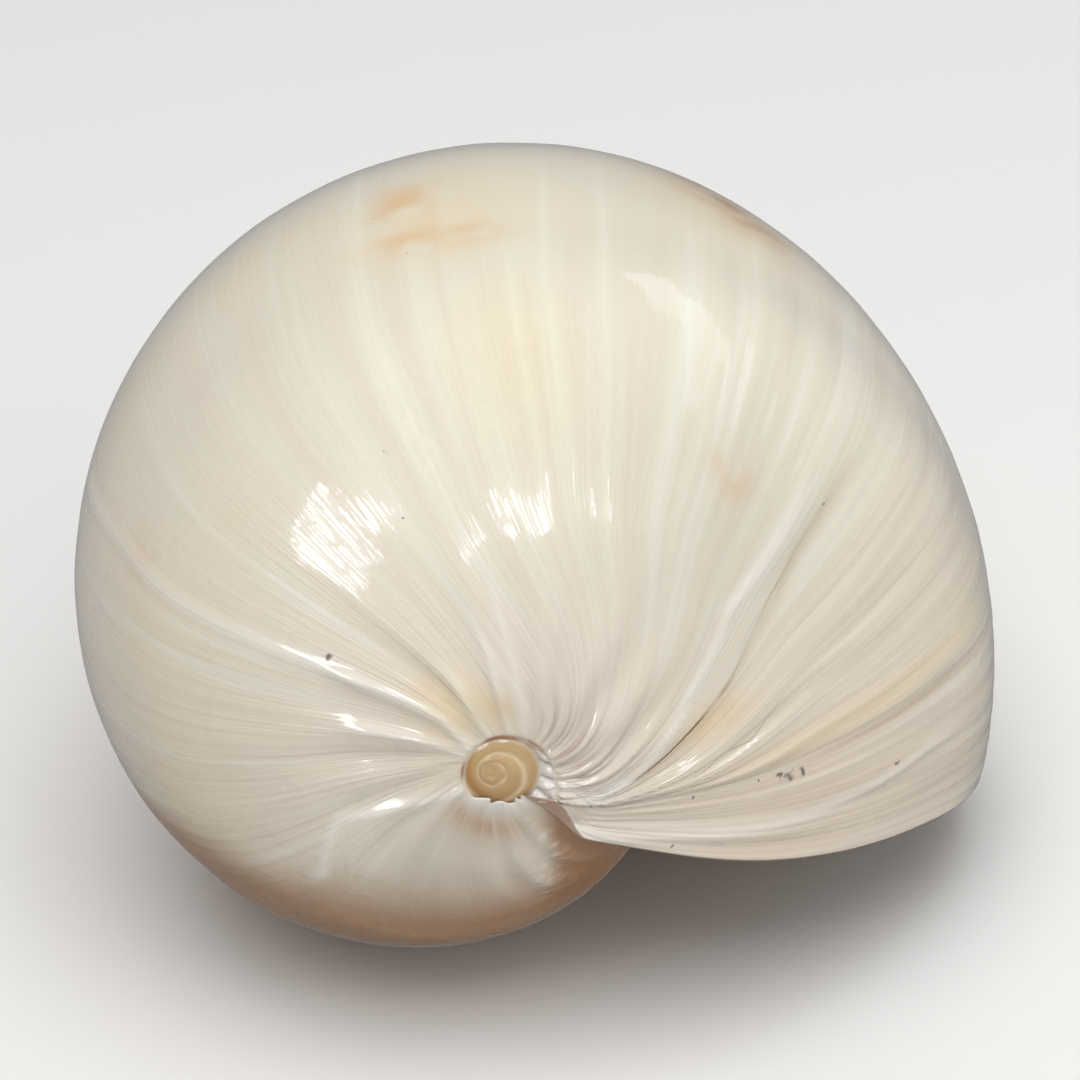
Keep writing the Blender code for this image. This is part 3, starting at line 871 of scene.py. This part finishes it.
def shell_colour(pen, settings, course, body, grains):
    """Ivory with growth streaks, painted shade in the ridge valleys, stains, cracks and pits, a brown glaze
    and painted shade on the underside, painted shadow along the suture and between the strip's lumps, and a
    tan first shell.
    """
    colour = lay_tints(pen, opaque(settings.cream), GROUND_TINTS, grains, settings)
    # Painted shade in the valleys of the ridge grain, which the bump raises into ridges.
    valley_shade = pen.product(pen.mark("combed"), VALLEY_SHADE_TINT)
    valley_shade = pen.math("MAXIMUM", valley_shade, pen.product(pen.mark("blush"), LATE_VALLEY_SHADE_TINT))
    valley_shade = pen.product(pen.ramp(grains["ridge"], 0.55, 0.35), valley_shade)
    colour = pen.tint(colour, opaque(VALLEY_SHADE_COLOUR), valley_shade)
    lines = pen.product(pen.ramp(grains["narrow"], 0.5, 0.72), pen.mark("fine"), LINE_TINT)
    lines = pen.product(lines, pen.ramp(pen.mark("combed"), -0.35, 1.0))
    colour = pen.tint(colour, opaque(LINE_COLOUR), lines)
    colour = lay_tints(pen, colour, BODY_TINTS, grains, settings)
    for points, width, strength in CRACKS:
        line = pen.crack(course, points, width, grains["cloud"])
        colour = pen.tint(colour, opaque(CRACK_COLOUR), pen.product(line, strength))
    uneven = pen.add("ShaderNodeTexNoise", Vector=body, Scale=900.0, Detail=0.0).outputs["Color"]
    uneven = pen.add("ShaderNodeVectorMath", {"operation": "SCALE"}, n0=uneven, Scale=PIT_RAGGEDNESS)
    ragged = pen.add("ShaderNodeVectorMath", {"operation": "ADD"}, n0=body, n1=uneven.outputs[0])
    colour = pen.tint(colour, opaque(PIT_COLOUR), pen.product(pen.dots(ragged.outputs[0], PITS), PIT_TINT))
    colour = lay_tints(pen, colour, FRILL_TINTS, grains, settings)
    first_shell = lay_tints(pen, opaque(settings.tan), FIRST_SHELL_TINTS, grains, settings)
    colour = pen.tint(colour, first_shell, pen.mark("dome"))
    return lay_tints(pen, colour, EDGE_TINTS, grains, settings)


def shell_fineness(pen, grains):
    """The height of the fine growth lines and the scaly patch."""
    high = pen.product(grains["ridge"], pen.math("ADD", pen.product(pen.mark("combed"), 2.0), 0.4))
    fine = pen.math("ADD", pen.product(grains["narrow"], 0.55), high)
    fine = pen.product(fine, pen.mark("fine"), pen.ramp(pen.mark("combed"), -0.9, 0.7))
    return pen.math("ADD", fine, pen.product(pen.ramp(grains["scale"], 0.6, 0.68), pen.mark("scaly"), 0.5))


def coat_cover(pen, grains):
    """How whole the clear coat is: broken by fine lines at the crown, thin on the brown glaze, on the painted
    brown shade of the underside, and on the apex and its painted suture shadow.
    """
    off_line = pen.ramp(pen.math("ABSOLUTE", pen.math("SUBTRACT", grains["narrow"], 0.47)), 0.03, 0.06)
    broken = pen.rest(pen.product(off_line, pen.ramp(grains["flake"], 0.42, 0.46)))
    whole = pen.rest(pen.product(broken, pen.mark("flaky")))
    # The coat is thin on the brown glaze and on the painted brown shade of the underside.
    bare = pen.math("MAXIMUM", pen.mark("glaze"), pen.product(pen.mark("brown_belly_shade"), 0.6))
    apex_bare = pen.product(pen.math("MAXIMUM", pen.mark("dome"), pen.mark("seam")), 0.8)
    bare = pen.math("MAXIMUM", bare, apex_bare)
    return pen.product(whole, pen.rest(pen.product(bare, 0.85)))


def polished_shell(settings):
    """The shell's wall under a clear glaze."""
    material = bpy.data.materials.new("polished_melon_shell")
    pen = NodePen(material)
    course = pen.add("ShaderNodeUVMap", {"uv_map": "growth_map"}).outputs["UV"]
    body = pen.add("ShaderNodeTexCoord").outputs["Object"]
    grains = shell_grains(pen, course, body)
    fine = shell_fineness(pen, grains)
    bump = pen.add("ShaderNodeBump", Height=fine, Strength=BUMP_STRENGTH, Distance=BUMP_HEIGHT)
    glaze = pen.add("ShaderNodeMix", {"data_type": "VECTOR"}, n0=GLAZE_BUMP, n5=bump.outputs["Normal"])
    pen.feed(glaze, "n4", pen.add("ShaderNodeNewGeometry").outputs["Normal"])
    rough = pen.add("ShaderNodeMapRange", Value=grains["cloud"])
    rough.inputs["To Min"].default_value, rough.inputs["To Max"].default_value = WALL_ROUGHNESS

    shader = pen.add("ShaderNodeBsdfPrincipled", Normal=bump.outputs["Normal"])
    pen.feed(shader, "Base Color", shell_colour(pen, settings, course, body, grains))
    pen.feed(shader, "Roughness", rough.outputs["Result"])
    pen.feed(shader, "Coat Normal", glaze.outputs[1])
    pen.feed(shader, "Coat Weight", coat_cover(pen, grains))
    shader.inputs["IOR"].default_value = 1.5
    shader.inputs["Specular IOR Level"].default_value = 0.15
    shader.inputs["Coat Roughness"].default_value = settings.gloss
    pen.feed(pen.add("ShaderNodeOutputMaterial"), "Surface", shader.outputs["BSDF"])
    return material


def plain_floor(colour):
    material = bpy.data.materials.new("pale_floor")
    pen = NodePen(material)
    shader = pen.add("ShaderNodeBsdfPrincipled", Base_Color=opaque(colour), Roughness=0.9)
    pen.feed(pen.add("ShaderNodeOutputMaterial"), "Surface", shader.outputs["BSDF"])
    return material


def colour_setting(name, description, default):
    return bpy.props.FloatVectorProperty(
        name=name, description=description, default=default, subtype="COLOR", size=3, min=0.0, max=1.0
    )


class ShellSettings(bpy.types.PropertyGroup):
    fold_height: bpy.props.FloatProperty(
        name="Inner Fold Height",
        description="Height of the three folds on the pillar inside the mouth",
        default=0.0032,
        min=0.0,
        max=0.006,
        unit="LENGTH",
    )
    gloss: bpy.props.FloatProperty(
        name="Glaze Roughness",
        description="Roughness of the clear glaze, from mirror to matt",
        default=0.06,
        min=0.0,
        max=1.0,
        subtype="FACTOR",
    )
    cream: colour_setting("Cream", "Main colour of the polished outside", (0.74, 0.665, 0.55))
    pale: colour_setting("Pale Crown", "Greenish white at the middle of the last turn", (0.80, 0.78, 0.64))
    blush: colour_setting("Blush", "Pinkish beige at the left and near the lip", (0.66, 0.55, 0.45))
    stain: colour_setting("Stain", "Orange tan of the stains", (0.72, 0.44, 0.18))
    brown: colour_setting("Underside Glaze", "Brown of the glaze beside the mouth", (0.33, 0.18, 0.095))
    tan: colour_setting("First Shell", "Golden tan of the first shell", (0.54, 0.38, 0.20))


class StageSettings(bpy.types.PropertyGroup):
    floor: colour_setting("Floor", "Colour of the floor", (0.85, 0.85, 0.84))
    focal_length: bpy.props.FloatProperty(
        name="Focal Length",
        description="The camera's focal length on a sensor 36 mm wide",
        default=122.57,
        min=20.0,
        max=300.0,
        unit="CAMERA",
    )
    brightness: bpy.props.FloatProperty(
        name="Brightness",
        description="How bright all the lights are together",
        default=1.0,
        min=0.1,
        max=5.0,
        subtype="FACTOR",
    )


class MELON_OT_shell(bpy.types.Operator):
    """Roll the melon shell from a flat sheet and glaze it"""

    bl_idname = "melon.shell"
    bl_label = "Melon Shell"

    def execute(self, context):
        settings = context.scene.melon_shell
        sheet = add_flat_sheet("melon_shell")
        roll_up(sheet, settings.fold_height / MM)
        close_seams(sheet)
        sheet.data.materials.append(polished_shell(settings))
        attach(sheet, "root")
        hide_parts("shell")
        return {"FINISHED"}


def add_light(name, azimuth, elevation, distance, width, height, strength, glossy_only):
    """A soft rectangular light that faces the shell. Its strength is the brightness of its face."""
    deselect_all()
    around, up = math.radians(azimuth), math.radians(elevation)
    direction = Vector((math.sin(around) * math.cos(up), -math.cos(around) * math.cos(up), math.sin(up)))
    bpy.ops.object.light_add(type="AREA", location=Vector(SHELL_MIDDLE) + direction * distance)
    light = bpy.context.object
    light.name = light.data.name = name
    light.rotation_euler = direction.to_track_quat("Z", "Y").to_euler()
    light.data.shape = "RECTANGLE"
    light.data.size, light.data.size_y = width, height
    light.data.energy = strength * math.pi * width * height
    light.data.color = WINDOW_TINT if glossy_only else (1.0, 1.0, 1.0)
    light.visible_diffuse = not glossy_only
    light.visible_glossy = glossy_only
    return light


class MELON_OT_stage(bpy.types.Operator):
    """Set the pale floor, the soft lights and the camera"""

    bl_idname = "melon.stage"
    bl_label = "Stage"

    def execute(self, context):
        settings = context.scene.melon_stage
        deselect_all()
        bpy.ops.mesh.primitive_circle_add(
            vertices=96, radius=FLOOR_RADIUS, fill_type="NGON", location=(0.0, 0.0, -FLOOR_GAP)
        )
        floor = context.object
        floor.name = floor.data.name = "floor"
        floor.data.materials.append(plain_floor(settings.floor))
        floor.visible_glossy = False

        world = bpy.data.worlds.new("pale_room")
        pen = NodePen(world)
        height = pen.add("ShaderNodeSeparateXYZ", Vector=pen.add("ShaderNodeTexCoord").outputs["Generated"])
        sky = pen.math("MULTIPLY", pen.ramp(height.outputs["Z"], -0.95, -0.45), 0.34 * settings.brightness)
        backdrop = pen.add("ShaderNodeBackground", Color=(1.0, 1.0, 1.0, 1.0), Strength=sky)
        pen.feed(pen.add("ShaderNodeOutputWorld"), "Surface", backdrop.outputs[0])
        context.scene.world = world
        context.scene.view_settings.view_transform = "Standard"
        for name, azimuth, elevation, distance, width, height, strength, glossy_only in LIGHTS:
            strength *= settings.brightness
            add_light(name, azimuth, elevation, distance, width, height, strength, glossy_only)

        deselect_all()
        bpy.ops.object.camera_add(location=CAMERA_PLACE, rotation=[math.radians(a) for a in CAMERA_TURN])
        camera = context.object
        camera.name = camera.data.name = "camera"
        camera.data.sensor_width = 36.0
        camera.data.lens = settings.focal_length
        camera.data.clip_start, camera.data.clip_end = 0.01, 50.0
        context.scene.camera = camera
        return {"FINISHED"}


class MELON_PT_panel(bpy.types.Panel):
    """The shell's and the stage's settings and steps"""

    bl_idname = "MELON_PT_panel"
    bl_label = "Melon Shell"
    bl_space_type = "VIEW_3D"
    bl_region_type = "UI"
    bl_category = "Melon Shell"

    def draw(self, context):
        layout = self.layout
        for settings, step in (("melon_shell", "melon.shell"), ("melon_stage", "melon.stage")):
            box = layout.box()
            group = getattr(context.scene, settings)
            for name in group.__annotations__:
                box.prop(group, name)
            box.operator(step)


CLASSES = (ShellSettings, StageSettings, MELON_OT_shell, MELON_OT_stage, MELON_PT_panel)


def register():
    for item in CLASSES:
        bpy.utils.register_class(item)
    bpy.types.Scene.melon_shell = bpy.props.PointerProperty(type=ShellSettings)
    bpy.types.Scene.melon_stage = bpy.props.PointerProperty(type=StageSettings)


def unregister():
    del bpy.types.Scene.melon_stage
    del bpy.types.Scene.melon_shell
    for item in reversed(CLASSES):
        bpy.utils.unregister_class(item)


def main():
    register()
    bpy.ops.melon.shell()
    bpy.ops.melon.stage()


if __name__ == "__main__":
    main()
